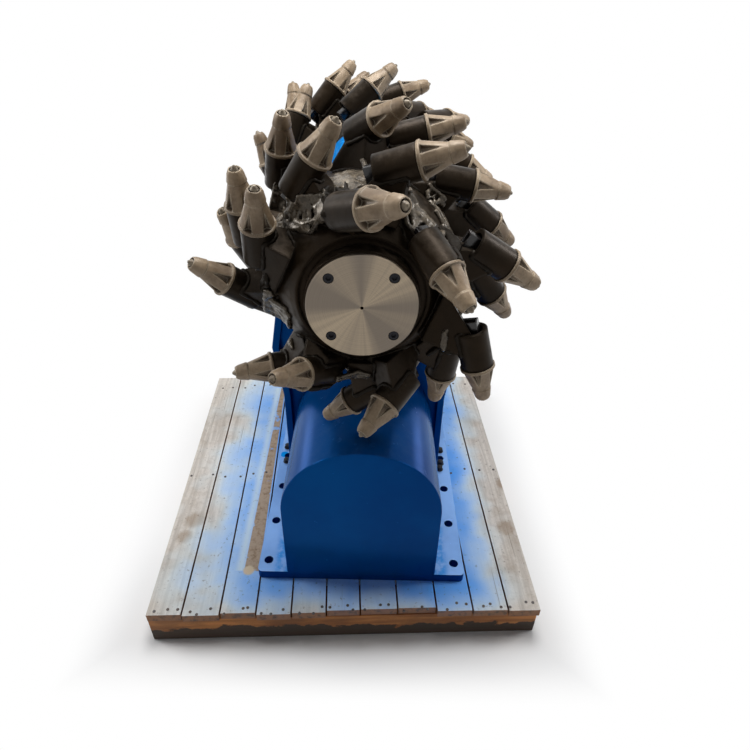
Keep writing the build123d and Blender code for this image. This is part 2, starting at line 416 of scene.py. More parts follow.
def makeWeld(name, look):
    material, tree, shader = startMaterial(name)
    ripple = patch(tree, 120.0, 0.35, 0.65, Detail=2.0)
    lump = patch(tree, 38.0, 0.4, 0.7, Detail=3.0)
    dustAndSheen = use(tree, settledDustAndSheen, Scale=45.0, Amount=0.6)
    # the pale scuff is laid on the ripples and, as a painted sheen, on what faces up
    coats = (ripple["Mask"], look["scuffAndSheen"], 0.25), (dustAndSheen["Mask"], look["scuffAndSheen"])
    height = calc(tree, "ADD", ripple["Field"], lump["Field"])
    finish(tree, shader, look, layer(tree, look["paint"], *coats), lump["Mask"], height)
    return material


pickLook = {
    "steel": colour(0.32, 0.235, 0.15),
    "brown": colour(0.135, 0.088, 0.048),
    "shadeAndGrime": colour(0.025, 0.015, 0.008),
    "bright": colour(0.74, 0.64, 0.48),
    "rough": (0.2, 0.36),
    "relief": (0.3, 0.0008),
    "plain": {"Metallic": 0.1, "Specular IOR Level": 0.4},
}


def makePickSteel():
    look = pickLook
    material, tree, shader = startMaterial("pickSteel")
    # edges are kept pale all along, partly wear and partly a painted highlight
    wear = use(tree, edgeWear, Width=0.0045, Break=26.0, Amount=1.0, Keep=0.6)
    broad = patch(tree, 11.0, 0.38, 0.66)
    fine = patch(tree, 150.0, 0.4, 0.7)
    # painted shade and grime in the flutes and corners
    recess = use(tree, recessShadeAndGrime, Reach=0.03, Amount=0.85)
    base = layer(
        tree, look["steel"],
        (broad["Mask"], look["brown"]),
        (fine["Mask"], look["brown"], 0.35),
        (recess["Mask"], look["shadeAndGrime"]),
        (wear["Mask"], look["bright"]),
    )
    finish(tree, shader, look, base, fine["Field"], fine["Field"], wear["Round"])
    return material


tipLook = {
    "carbide": colour(0.23, 0.185, 0.125),
    "dull": colour(0.11, 0.082, 0.052),
    "rough": (0.2, 0.34),
    "relief": (0.25, 0.0005),
    "plain": {"Metallic": 0.2},
}


def makeHardTip():
    look = tipLook
    material, tree, shader = startMaterial("hardTip")
    wear = use(tree, edgeWear, Width=0.001, Break=90.0, Amount=0.8)
    spots = patch(tree, 90.0, 0.4, 0.62)
    # painted shade and grime where the tip sits down in the cup
    recess = use(tree, recessShadeAndGrime, Reach=0.02, Amount=1.0)
    coats = (spots["Mask"], look["dull"]), (recess["Mask"], pickLook["shadeAndGrime"])
    base = layer(tree, look["carbide"], *coats)
    finish(tree, shader, look, base, spots["Field"], spots["Field"], wear["Round"])
    return material


discLook = {
    "steel": colour(0.175, 0.145, 0.115),
    "bright": colour(0.36, 0.29, 0.205),
    "groove": colour(0.09, 0.075, 0.06),
    "ringsPerMetre": 900.0,
    # direction and half width in degrees, and strength of each fan of painted sheen
    "fans": ((-138, 22, 1.0), (-92, 13, 0.75), (48, 22, 0.95), (122, 15, 0.45), (-20, 9, 0.25)),
    "rough": (0.12, 0.28),
    "relief": (0.12, 0.0004),
    "plain": {"Metallic": 0.8},
}


def makeTurnedSteel():
    look = discLook
    material, tree, shader = startMaterial("turnedSteel")
    fromAxis = vector(tree, "SUBTRACT", objectPlace(tree), drumAxis)
    flat = vector(tree, "MULTIPLY", fromAxis, (1, 0, 1))
    outward = vector(tree, "NORMALIZE", flat)
    radius = times(tree, vector(tree, "LENGTH", flat), look["ringsPerMetre"])
    inputs = {"W": radius, "Scale": 1.0, "Detail": 3.0}
    rings = put(tree, "ShaderNodeTexNoise", inputs, noise_dimensions="1D").outputs[0]
    # painted sheen: the light that turning marks catch is painted in fans that open from the centre
    sheen = 0.0
    for degrees, halfWidth, strength in look["fans"]:
        angle = math.radians(degrees)
        along = vector(tree, "DOT_PRODUCT", outward, (math.cos(angle), 0, math.sin(angle)))
        lobe = ease(tree, along, math.cos(math.radians(2 * halfWidth)), 1.0, 0.0, strength)
        sheen = calc(tree, "MAXIMUM", sheen, lobe)
    rays = noise(tree, outward, 9.0, 4.0)
    sheen = times(tree, sheen, ease(tree, rays, 0.3, 0.65, 0.6, 1.0))
    grooves = ease(tree, rings, 0.45, 0.7)
    base = layer(tree, look["steel"], (sheen, look["bright"]), (grooves, look["groove"], 0.3))
    finish(tree, shader, look, base, rings, rings)
    return material


# small steel pieces in two tones, mixed by spots, or by worn edges where wear is given
smallLooks = {
    "shaftSteel": {
        "tones": (colour(0.2, 0.19, 0.18), colour(0.1, 0.085, 0.07)),
        "spots": (40.0, 0.4, 0.7), "stretch": (1, 6, 1),
        "rough": (0.25, 0.35), "relief": (0.2, 0.0006), "plain": {"Metallic": 0.8},
    },
    "nailSteel": {
        "tones": (colour(0.09, 0.085, 0.085), colour(0.07, 0.04, 0.025)),
        "spots": (160.0, 0.4, 0.7),
        "rough": (0.3, 0.45), "relief": (0.3, 0.0003), "plain": {"Metallic": 0.6},
    },
    "boltBlack": {
        "tones": (colour(0.012, 0.012, 0.016), colour(0.1, 0.1, 0.11)),
        "spots": (110.0, 0.45, 0.7),
        "wear": {"Width": 0.001, "Break": 120.0, "Amount": 0.5},
        "rough": (0.2, 0.38), "relief": (0.2, 0.0004), "plain": {"Specular IOR Level": 0.2},
    },
    # a wet-looking dip coat, scuffed along its edges
    "clipBlack": {
        "tones": (colour(0.01, 0.008, 0.008), colour(0.55, 0.5, 0.5)),
        "spots": (70.0, 0.4, 0.7),
        "wear": {"Width": 0.003, "Break": 25.0, "Amount": 1.0},
        "rough": (0.2, 0.14), "relief": (0.3, 0.0008),
    },
}


def makeSmallSteel(name):
    look = smallLooks[name]
    material, tree, shader = startMaterial(name)
    spots = patch(tree, *look["spots"], Stretch=look.get("stretch", (1, 1, 1)))
    mask, rounded = spots["Mask"], None
    if "wear" in look:
        wear = use(tree, edgeWear, **look["wear"])
        mask, rounded = wear["Mask"], wear["Round"]
    base = blendColour(tree, mask, *look["tones"])
    finish(tree, shader, look, base, spots["Field"], spots["Field"], rounded)
    return material


palletLook = {
    "turnDegrees": 2.78,
    "middle": (-0.07, -0.027, 0),
    "pitch": 0.1,
    "plankShares": (0.99, 1.05, 1.0, 0.98, 0.97, 0.95, 1.05, 1.09, 1.01, 0.99, 0.92),
    "plankTones": (0.62, 0.5, 0.42, 0.46, 0.52, 0.44, 0.5, 0.55, 0.4, 0.45, 0.58),
    "grainShift": (0.0, 31.0, 7.0),
    "pale": colour(0.66, 0.61, 0.55),
    "grey": colour(0.47, 0.425, 0.375),
    "stain": colour(0.25, 0.165, 0.095),
    "dark": colour(0.1, 0.075, 0.055),
    "bare": colour(0.42, 0.32, 0.23),
    "spot": colour(0.66, 0.54, 0.38),
    "spray": colour(0.018, 0.33, 1.0),
    "mist": colour(0.72, 0.91, 1.0),
    "ends": (colour(0.24, 0.095, 0.03), colour(0.05, 0.025, 0.012)),
    "endShare": 0.92,
    # x, y and radius of the worst stains
    "stains": (
        (0.487, -0.088, 0.03), (0.461, -0.287, 0.035), (0.372, -0.236, 0.025),
        (-0.542, -0.28, 0.04), (-0.556, -0.348, 0.03),
    ),
    "stainSpread": 1.6,
    "stainShare": 0.55,
    "rough": (0.25, 0.62),
    "relief": (0.5, 0.0015),
}
oversprayShape = {
    "plateHalf": (0.3, 0.49),
    # the spray reached further on the left than in front and on the right
    "sideways": (-0.1, 0.1, 0.78, 1.55),
    "endways": 1.25,
    "reach": (0.1, 0.115),
    "mistFades": (0.35, 1.45),
    "mistShare": 0.78,
    "sprayFades": (0.1, 1.05),
    "sprayShare": (0.36, 0.52),
    # the strip that a batten kept bare: slope and place of its two edges, and its ends
    "stripLeft": (-0.018, -0.3545),
    "stripRight": (-0.0486, -0.3242),
    "stripEnds": (-0.468, 0.45),
    "dabShare": 0.8,
    "spotAt": (-0.333, -0.466, 0),
    "spotEdge": (0.012, 0.02),
    # a line beside the strip where the spray is thin
    "thinAside": 0.012,
    "thinWidth": 0.022,
    "thinShare": 0.7,
}


def turnedPlace(tree, degrees):
    inputs = {"Vector": objectPlace(tree), "Rotation": (0, 0, math.radians(degrees))}
    return put(tree, "ShaderNodeMapping", inputs).outputs[0]


def plankTone(tree, turned):
    # each plank has its own tone
    look = palletLook
    ramp = put(tree, "ShaderNodeValToRGB")
    ramp.color_ramp.interpolation = "CONSTANT"
    stops = ramp.color_ramp.elements
    total = sum(look["plankShares"])
    turn = math.radians(look["turnDegrees"])
    middleX = look["middle"][0] * math.cos(turn) + look["middle"][1] * math.sin(turn)
    left = middleX - total * look["pitch"] / 2
    fromLeft = calc(tree, "SUBTRACT", part(tree, turned, "X"), left)
    start = 0.0
    for at, (share, tone) in enumerate(zip(look["plankShares"], look["plankTones"])):
        stop = stops[0] if at == 0 else stops.new(start / total)
        stop.position = start / total
        stop.color = colour(tone, tone, tone)
        start += share
    while len(stops) > len(look["plankShares"]):
        stops.remove(stops[-1])
    tree.links.new(calc(tree, "DIVIDE", fromLeft, total * look["pitch"]), ramp.inputs[0])
    return ramp.outputs[0]


def overspray(tree, place):
    # masks of the blue round the plate: thin mist, dense spray, the bare strip and its end spot
    shape = oversprayShape
    x, y = part(tree, place, "X"), part(tree, place, "Y")
    away = []
    for along, half in zip((x, y), shape["plateHalf"]):
        beyond = calc(tree, "SUBTRACT", calc(tree, "ABSOLUTE", along), half)
        away.append(calc(tree, "MAXIMUM", beyond, 0.0))
    away[0] = times(tree, away[0], ease(tree, x, *shape["sideways"]))
    away[1] = times(tree, away[1], shape["endways"])
    squares = calc(tree, "ADD", *(times(tree, a, a) for a in away))
    cloud = patch(tree, 5.0, 0.3, 0.7, Detail=2.5)["Mask"]
    reach = timesPlus(tree, cloud, *shape["reach"])
    share = calc(tree, "DIVIDE", calc(tree, "SQRT", squares), reach)
    mist = times(tree, fade(tree, share, *shape["mistFades"]), shape["mistShare"])
    spray = fade(tree, share, *shape["sprayFades"])
    left = timesPlus(tree, y, *shape["stripLeft"])
    right = timesPlus(tree, y, *shape["stripRight"])
    inside = times(tree, calc(tree, "GREATER_THAN", x, left), calc(tree, "LESS_THAN", x, right))
    low, high = shape["stripEnds"]
    along = times(tree, calc(tree, "GREATER_THAN", y, low), calc(tree, "LESS_THAN", y, high))
    dab = patch(tree, 24.0, 0.62, 0.68, Detail=2.0)["Mask"]
    strip = times(tree, inside, along)
    strip = times(tree, strip, without(tree, times(tree, dab, shape["dabShare"])))
    spotAway = vector(tree, "DISTANCE", place, shape["spotAt"])
    spot = fade(tree, spotAway, *shape["spotEdge"])
    aside = calc(tree, "SUBTRACT", x, calc(tree, "SUBTRACT", left, shape["thinAside"]))
    thin = fade(tree, calc(tree, "ABSOLUTE", aside), 0.0, shape["thinWidth"])
    thin = times(tree, times(tree, thin, along), shape["thinShare"])
    dense = timesPlus(tree, cloud, *shape["sprayShare"])
    dense = times(tree, times(tree, spray, without(tree, thin)), dense)
    return mist, dense, strip, spot


def makePlankTimber():
    look = palletLook
    material, tree, shader = startMaterial("weatheredTimber")
    place = objectPlace(tree)
    turned = turnedPlace(tree, -look["turnDegrees"])
    # each plank has its own stretch of grain
    shifted = vector(tree, "MULTIPLY", plankTone(tree, turned), look["grainShift"])
    grain = use(tree, timberGrain, Vector=vector(tree, "ADD", turned, shifted), Coarse=1.0)
    broad = patch(tree, 5.5, 0.5, 0.72)
    blotch = patch(tree, 17.0, 0.52, 0.74)
    mottle = patch(tree, 60.0, 0.45, 0.7)
    specks = patch(tree, 260.0, 0.6, 0.7, Detail=2.0)
    base = layer(
        tree, look["grey"],
        (ease(tree, grain["Fibre"], 0.35, 0.62), look["pale"]),
        (mottle["Mask"], look["grey"], 0.5),
        (specks["Mask"], look["stain"], 0.45),
        (broad["Mask"], look["stain"], 0.5),
        (blotch["Mask"], look["stain"], 0.3),
    )
    for x, y, radius in look["stains"]:
        near = vector(tree, "DISTANCE", place, (x, y, 0))
        ragged = timesPlus(tree, mottle["Field"], radius, near)
        mask = fade(tree, ragged, radius, radius * look["stainSpread"])
        base = layer(tree, base, (mask, look["stain"], look["stainShare"]))
    mist, dense, strip, spot = overspray(tree, place)
    # sawn ends and sides are darker and browner
    facing = calc(tree, "ABSOLUTE", part(tree, faceNormal(tree), "Z"))
    side = fade(tree, facing, 0.3, 0.8)
    base = layer(
        tree, base,
        (mist, look["mist"]),
        (dense, look["spray"]),
        (strip, blendColour(tree, mottle["Mask"], look["bare"], look["stain"])),
        (spot, look["spot"]),
        (grain["Crack"], look["dark"], 0.6),
        (grain["Fleck"], look["dark"], 0.5),
        (side, blendColour(tree, mottle["Mask"], *look["ends"]), look["endShare"]),
    )
    finish(tree, shader, look, base, grain["Fibre"], grain["Height"])
    return material


bearerLook = {
    "orange": colour(0.56, 0.225, 0.06),
    "brown": colour(0.3, 0.11, 0.032),
    "blotch": colour(0.1, 0.045, 0.02),
    "black": colour(0.012, 0.008, 0.005),
    "crack": colour(0.03, 0.018, 0.01),
    # the lower part is black up to a torn line: its unevenness and its lowest height
    "torn": (0.09, -0.115),
    "tornEdge": (-0.003, 0.004),
    "darkDeep": 0.8,
    "rough": (0.22, 0.66),
    "relief": (0.6, 0.003),
}


def makeBearerTimber():
    look = bearerLook
    material, tree, shader = startMaterial("bearerTimber")
    turned = turnedPlace(tree, 90 - palletLook["turnDegrees"])
    grain = use(tree, timberGrain, Vector=turned, Coarse=0.6)
    broad = patch(tree, 6.0, 0.4, 0.65, Stretch=(1, 1, 2.5))
    torn = patch(tree, 16.0, 0.3, 0.7, Stretch=(1, 1, 1.4))
    level = timesPlus(tree, torn["Field"], *look["torn"])
    above = calc(tree, "SUBTRACT", part(tree, objectPlace(tree), "Z"), level)
    dark = fade(tree, above, *look["tornEdge"])
    base = layer(
        tree, look["orange"],
        (ease(tree, grain["Fibre"], 0.38, 0.62), look["brown"]),
        (broad["Mask"], look["blotch"], 0.55),
        (dark, look["black"], 0.96),
        (grain["Crack"], look["crack"], 0.7),
    )
    height = calc(tree, "SUBTRACT", grain["Height"], times(tree, dark, look["darkDeep"]))
    finish(tree, shader, look, base, grain["Fibre"], height)
    return material


looks = {
    "bluePaint": makeBluePaint(),
    "blackPaint": makeBlackPaint(),
    "weld": makeWeld("paintedWeld", weldLook),
    "brightWeld": makeWeld("brightWeld", brightWeldLook),
    "pickSteel": makePickSteel(),
    "hardTip": makeHardTip(),
    "turnedSteel": makeTurnedSteel(),
    "plankTimber": makePlankTimber(),
    "bearerTimber": makeBearerTimber(),
}
for name in smallLooks:
    looks[name] = makeSmallSteel(name)

nodeLooks = {
    "mounting_plate": "bluePaint",
    "motor_housing": "bluePaint",
    "gear_case": "bluePaint",
    "drive_shaft": "shaftSteel",
    "drum": "blackPaint",
    "picks": "pickSteel",
    "tips": "hardTip",
    "end_disc": "turnedSteel",
    "pallet_planks": "plankTimber",
    "pallet_bearers": "bearerTimber",
}
for name, node in nodes.items():
    kind = name.removesuffix("_front").removesuffix("_rear")
    for materialSlot in node.material_slots:
        materialSlot.material = looks[nodeLooks[kind]]
print("finishes assigned")


# helpers for the pieces that the source leaves to this script

def clearPick():
    if bpy.context.object and bpy.context.object.mode != "OBJECT":
        bpy.ops.object.mode_set(mode="OBJECT")
    bpy.ops.object.select_all(action="DESELECT")


def onlyPick(*objects):
    clearPick()
    for item in objects:
        item.select_set(True)
    bpy.context.view_layer.objects.active = objects[0]


def pickFaces(item, wanted):
    # leaves edit mode on with just the faces for which wanted(face) holds
    bpy.ops.object.mode_set(mode="OBJECT")
    for vertex in item.data.vertices:
        vertex.select = False
    for edge in item.data.edges:
        edge.select = False
    for face in item.data.polygons:
        face.select = bool(wanted(face))
    bpy.ops.object.mode_set(mode="EDIT")
    bpy.ops.mesh.select_mode(type="FACE")


def facesUp(face):
    return face.normal.z > 0.9


def applyPlace():
    bpy.ops.object.transform_apply(location=True, rotation=True, scale=True)


def startRound(sides, radius, height, low=0.0):
    # the round mesh that a small piece is cut from, with its lower face at z = low
    clearPick()
    middle = (0, 0, low + height / 2)
    bpy.ops.mesh.primitive_cylinder_add(vertices=sides, radius=radius, depth=height, location=middle)
    applyPlace()
    return bpy.context.object


def pushInset(thickness, rise):
    # the picked face is inset and its middle moved up or down
    bpy.ops.mesh.inset(thickness=thickness, depth=0)
    bpy.ops.mesh.extrude_region_move(TRANSFORM_OT_translate={"value": (0, 0, rise)})
    bpy.ops.object.mode_set(mode="OBJECT")


def modify(item, kind, **settings):
    modifier = item.modifiers.new(kind.lower(), kind)
    for name, value in settings.items():
        setattr(modifier, name, value)
    bpy.ops.object.modifier_apply(modifier=modifier.name)


def settle(item, look, body, smoothDegrees=35):
    onlyPick(item)
    applyPlace()
    item.data.materials.clear()
    item.data.materials.append(looks[look])
    bpy.ops.object.shade_smooth_by_angle(angle=math.radians(smoothDegrees))
    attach(item, body)


def copyTo(item, name, places):
    # copies with their own meshes at each matrix, joined into one piece
    copies = []
    for place in places:
        copies.append(addObject(name, item.data.copy()))
        copies[-1].matrix_world = place
    bpy.data.objects.remove(item, do_unlink=True)
    onlyPick(*copies)
    bpy.ops.object.join()
    return bpy.context.object


def turnAbout(axis, degrees):
    return Matrix.Rotation(math.radians(degrees), 4, axis)


discScrew = {
    "sides": 36,
    "headR": 0.0102,
    "headT": 0.005,
    "rimBevel": 0.0009,
    "rimShare": 0.98,
    "socketR": 0.0058,
    "socketDeep": 0.004,
    "count": 4,
    "pitchR": 0.092,
    "turn": 46.0,
    "faceY": 0.4995,
}


def makeDiscScrews(side, word):
    size = discScrew
    screw = startRound(size["sides"], size["headR"], size["headT"], -size["headT"])
    pickFaces(screw, facesUp)
    bpy.ops.mesh.bevel(offset=size["rimBevel"], segments=2, affect="EDGES")
    pickFaces(screw, lambda face: face.normal.z > 0.99 and len(face.vertices) > 12)
    rim = size["headR"] * size["rimShare"] - size["rimBevel"] - size["socketR"]
    pushInset(rim, -size["socketDeep"])
    # the round socket is pulled into a hexagon
    sixth = math.pi / 3
    for vertex in screw.data.vertices:
        flatR = math.hypot(vertex.co.x, vertex.co.y)
        if 0.0001 < flatR < size["socketR"] * 1.1:
            angle = math.atan2(vertex.co.y, vertex.co.x) % sixth - sixth / 2
            grow = size["socketR"] * math.cos(sixth / 2) / math.cos(angle) / flatR
            vertex.co.x *= grow
            vertex.co.y *= grow
    places = []
    for at in range(size["count"]):
        angle = math.radians(size["turn"] + 360 / size["count"] * at)
        x, z = size["pitchR"] * math.cos(angle), size["pitchR"] * math.sin(angle)
        spot = drumAxis + Vector((x, side * size["faceY"], z))
        places.append(Matrix.Translation(spot) @ turnAbout("X", -side * 90))
    screws = copyTo(screw, "disc_screws_" + word, places)
    settle(screws, "boltBlack", "drums")


for side, word in bothSides:
    makeDiscScrews(side, word)
print("disc screws made")


weldBead = {
    "radius": 0.0054,
    "passRadius": 0.0062,
    "radiusShares": (0.75, 1.3),
    "passSink": 0.25,
    "passSteps": 6,
    "passReach": 0.04,
    "wander": 0.0013,
    "cornerDegrees": 24.0,
    "flatStep": 0.0004,
    "longest": 0.018,
    "voxel": 0.0029,
    "lump": 0.002,
    "lumpScale": 0.03,
    "keepShare": 0.4,
    "innerY": 0.124,
    "sameSpot": 0.0001,
    "mouthR": 0.025,
    "mouthSlack": 0.003,
    # passes across each built-up patch, its look and its four corners
    "patches": (
        (12, "brightWeld", (-0.188, -0.33, 1.008), (-0.15, -0.385, 1.09),
         (-0.08, -0.392, 1.1), (-0.078, -0.5, 1.085)),
        (12, "brightWeld", (-0.056, -0.36, 1.095), (-0.06, -0.262, 1.095),
         (0.004, -0.262, 1.103), (0.004, -0.4, 1.105)),
        (9, "brightWeld", (0.004, -0.3, 1.106), (-0.006, -0.247, 1.126),
         (0.04, -0.33, 1.125), (0.042, -0.42, 1.115)),
        (6, "weld", (-0.061, -0.56, 1.115), (-0.075, -0.38, 1.102),
         (-0.04, -0.335, 1.102), (-0.021, -0.56, 1.115)),
        (5, "brightWeld", (0.137, -0.267, 1.08), (0.179, -0.269, 1.047),
         (0.173, -0.343, 1.006), (0.145, -0.33, 1.04)),
        (2, "brightWeld", (-0.201, -0.19, 1.008), (-0.181, -0.317, 1.01),
         (-0.188, -0.323, 1.0), (-0.206, -0.196, 1.0)),
        (2, "brightWeld", (-0.188, -0.323, 1.008), (-0.148, -0.392, 1.036),
         (-0.15, -0.398, 1.026), (-0.19, -0.33, 1.0)),
        (2, "brightWeld", (-0.148, -0.392, 1.036), (-0.078, -0.5, 1.083),
         (-0.08, -0.506, 1.074), (-0.15, -0.398, 1.026)),
    ),
    "turns": range(0, 360, 72),
    # a web of passes that stands out beside one foot of the front drum
    "web": (
        (-0.184, -0.196, 0.984), (-0.228, -0.199, 0.994),
        (-0.209, -0.199, 1.06), (-0.176, -0.193, 1.04),
    ),
    "webPasses": 10,
    "webSteps": 4,
    "webWander": 0.004,
}


def isInnerCorner(edge):
    size = weldBead
    if len(edge.link_faces) != 2:
        return False
    a, b = (v.co - drumAxis for v in edge.verts)
    if min(abs(a.y), abs(b.y)) < size["innerY"]:
        return False
    # an edge that runs round the drum at one radius is no corner of a foot
    rise = abs(math.hypot(a.x, a.z) - math.hypot(b.x, b.z))
    bend = edge.calc_face_angle_signed(0.0)
    return bend <= -math.radians(size["cornerDegrees"]) and max(abs(a.y - b.y), rise) > size["flatStep"]


def chainsOf(mesh):
    # a dictionary keeps the mesh's own order, so every run finds the chains in the same order
    left = dict.fromkeys(mesh.verts)
    chains = []
    while left:
        queue = [left.popitem()[0]]
        chain = []
        while queue:
            vertex = queue.pop()
            chain.append(vertex)
            for edge in vertex.link_edges:
                other = edge.other_vert(vertex)
                if other in left:
                    del left[other]
                    queue.append(other)
        chains.append(chain)
    return chains


def centreOf(points):
    return sum(points, Vector()) / len(points)


def isMouth(chain):
    # the round rear mouth of a holder is left clean
    middle = centreOf([v.co for v in chain])
    spans = [(v.co - middle).length for v in chain]
    slack = weldBead["mouthSlack"]
    isRound = len(chain) > 6 and max(spans) - min(spans) < slack
    return isRound and abs(max(spans) - weldBead["mouthR"]) < slack


def innerCorners(drum):
    corners = bmesh.new()
    corners.from_mesh(drum.data)
    bmesh.ops.remove_doubles(corners, verts=corners.verts, dist=weldBead["sameSpot"])
    others = [edge for edge in corners.edges if not isInnerCorner(edge)]
    bmesh.ops.delete(corners, geom=others, context="EDGES")
    loose = [v for v in corners.verts if not v.link_edges]
    bmesh.ops.delete(corners, geom=loose, context="VERTS")
    for chain in chainsOf(corners):
        if isMouth(chain):
            bmesh.ops.delete(corners, geom=chain, context="VERTS")
    ends = [[v.co.copy() for v in edge.verts] for edge in corners.edges]
    corners.free()
    return ends


def addPass(curve, points, radius, dice):
    spline = curve.splines.new("POLY")
    spline.points.add(len(points) - 1)
    for point, at in zip(spline.points, points):
        point.co = (*at, 1)
        point.radius = radius * dice.uniform(*weldBead["radiusShares"])


def evenSteps(start, end, steps):
    return [start.lerp(end, n / steps) for n in range(steps + 1)]


def acrossPatch(corners, count):
    # the two ends of each pass across a patch
    a, b, c, d = corners
    return zip(evenSteps(a, d, count - 1), evenSteps(b, c, count - 1))


def passOver(drum, start, end, dice):
    # a wandering line, laid down on the drum
    size = weldBead
    line = []
    for at in evenSteps(start, end, size["passSteps"]):
        at += Vector([dice.uniform(-1, 1) * size["wander"] for _ in range(3)])
        found, near, normal, _ = drum.closest_point_on_mesh(at)
        if found and (near - at).length < size["passReach"] and abs(near.y) > size["innerY"]:
            line.append(near + normal * size["passRadius"] * size["passSink"])
    return line


def fuseBeads(name, curve, look, lumps):
    size = weldBead
    onlyPick(addObject(name, curve))
    bpy.ops.object.convert(target="MESH")
    bead = bpy.context.object
    modify(bead, "REMESH", mode="VOXEL", voxel_size=size["voxel"])
    modify(bead, "DISPLACE", texture=lumps, strength=size["lump"])
    modify(bead, "DECIMATE", ratio=size["keepShare"])
    settle(bead, look, "drums", 60)
    print(bead.name, len(bead.data.polygons), "faces")


def makeWeldBeads(nodeName, side, turnDegrees):
    size = weldBead
    dice = random.Random(11 if side < 0 else 12)
    drum = nodes[nodeName]
    curves = {}
    for look in ("weld", "brightWeld"):
        curve = bpy.data.curves.new(look, "CURVE")
        curve.dimensions = "3D"
        curve.bevel_depth = 1.0
        curve.bevel_resolution = 1
        curve.use_fill_caps = True
        curves[look] = curve
    for a, b in innerCorners(drum):
        steps = max(1, math.ceil((b - a).length / size["longest"]))
        addPass(curves["weld"], evenSteps(a, b, steps), size["radius"], dice)
    for count, look, *corners in size["patches"]:
        for turn in size["turns"]:
            swing = Matrix.Rotation(math.radians(turn + turnDegrees), 3, "Y")
            places = [Vector((x, -side * y, z)) - drumAxis for x, y, z in corners]
            places = [swing @ place + drumAxis for place in places]
            for start, end in acrossPatch(places, count):
                line = passOver(drum, start, end, dice)
                if len(line) > 2:
                    addPass(curves[look], line, size["passRadius"], dice)
    if side < 0:
        for start, end in acrossPatch([Vector(p) for p in size["web"]], size["webPasses"]):
            line = evenSteps(start, end, size["webSteps"])
            for at in line:
                at.y += dice.uniform(-size["webWander"], size["webWander"])
            addPass(curves["brightWeld"], line, size["passRadius"], dice)
    lumps = bpy.data.textures.new("weldLumps", "CLOUDS")
    lumps.noise_scale = size["lumpScale"]
    lumps.noise_depth = 2
    for look, curve in curves.items():
        fuseBeads(look + "_" + nodeName, curve, look, lumps)


makeWeldBeads("drum_front", -1, 0)
makeWeldBeads("drum_rear", 1, -41)


# the axis of each pick, read from its own solids
pickSolid = {"sameSpot": 0.00005, "endDeep": 0.0004}


def solidsOf(node):
    work = bmesh.new()
    work.from_mesh(node.data)
    bmesh.ops.remove_doubles(work, verts=work.verts, dist=pickSolid["sameSpot"])
    groups = [[v.co.copy() for v in chain] for chain in chainsOf(work)]
    work.free()
    return groups


def endCentre(points, way):
    # the middle of the round end face that looks along way
    nearEnd = max(p.dot(way) for p in points) - pickSolid["endDeep"]
    return centreOf([p for p in points if p.dot(way) > nearEnd])


def pickAxes(word):
    heads = solidsOf(nodes["picks_" + word])
    axes = []
    for points in solidsOf(nodes["tips_" + word]):
        middle = centreOf(points)
        head = min(heads, key=lambda group: (centreOf(group) - middle).length)
        way = (middle - centreOf(head)).normalized()
        front = endCentre(points, way)
        axes.append((front, (front - endCentre(head, -way)).normalized()))
    return axes


def behindTip(tip, way, distance):
    # a place on a pick's axis, with local Z along it
    turn = way.to_track_quat("Z", "X").to_matrix().to_4x4()
    return Matrix.Translation(tip - way * distance) @ turn


tailClip = {
    "width": 0.034,
    "depth": 0.026,
    "length": 0.04,
    "wall": 0.005,
    "hollowShare": 0.6,
    "edge": 0.0014,
    "behindTip": 0.162,
}


def makeTailClips(word):
    size = tailClip
    clearPick()
    bpy.ops.mesh.primitive_cube_add(size=1, location=(0, 0, -size["length"] / 2))
    clip = bpy.context.object
    clip.scale = (size["width"], size["depth"], size["length"])
    applyPlace()
    pickFaces(clip, lambda face: face.normal.z < -0.9)
    pushInset(size["wall"], size["length"] * size["hollowShare"])
    modify(clip, "BEVEL", width=size["edge"], segments=2)
    places = [behindTip(tip, way, size["behindTip"]) for tip, way in pickAxes(word)]
    clips = copyTo(clip, "tail_clips_" + word, places)
    settle(clips, "clipBlack", "drums")


for _, word in bothSides:
    makeTailClips(word)
print("tail clips made")


pickHead = {
    "tipZ": 0.094,
    "flutes": 5,
    "fluteFrom": 0.0075,
    "fluteTo": 0.045,
    "fluteDeep": 0.0115,
    "fluteHalf": 0.225,
    "fluteNarrows": 0.75,
    "fluteFades": 0.9,
    # across one flute: share of its half width, place beyond that, and share of its depth
    "fluteColumns": (
        (-1, -0.04, 0), (-1, 0, 0.12), (-0.72, 0, 0.85), (0, 0, 1),
        (0.72, 0, 0.85), (1, 0, 0.12), (1, 0.04, 0),
    ),
    # height and radius from the shank's end over collar, head and nose and down into the cup
    "shank": (
        (-0.078, 0.0155), (-0.0768, 0.017), (-0.072, 0.017), (-0.072, 0.0195),
        (-0.069, 0.0195), (-0.069, 0.017), (0, 0.017),
    ),
    "collar": ((0, 0.0368), (0.0012, 0.038), (0.0058, 0.038), (0.007, 0.0368)),
    "headFoot": (0.0075, 0.0352),
    "headLow": (0.01, 0.034),
    "headHigh": (0.057, 0.02),
    "headRings": 11,
    "nose": (
        (0.0585, 0.0207), (0.0603, 0.0214), (0.063, 0.0208), (0.079, 0.0175), (0.0842, 0.0149),
        (0.0861, 0.0139), (0.0869, 0.0129), (0.0868, 0.0117), (0.0858, 0.0109), (0.0845, 0.0109),
        (0.079, 0.0116),
    ),
}


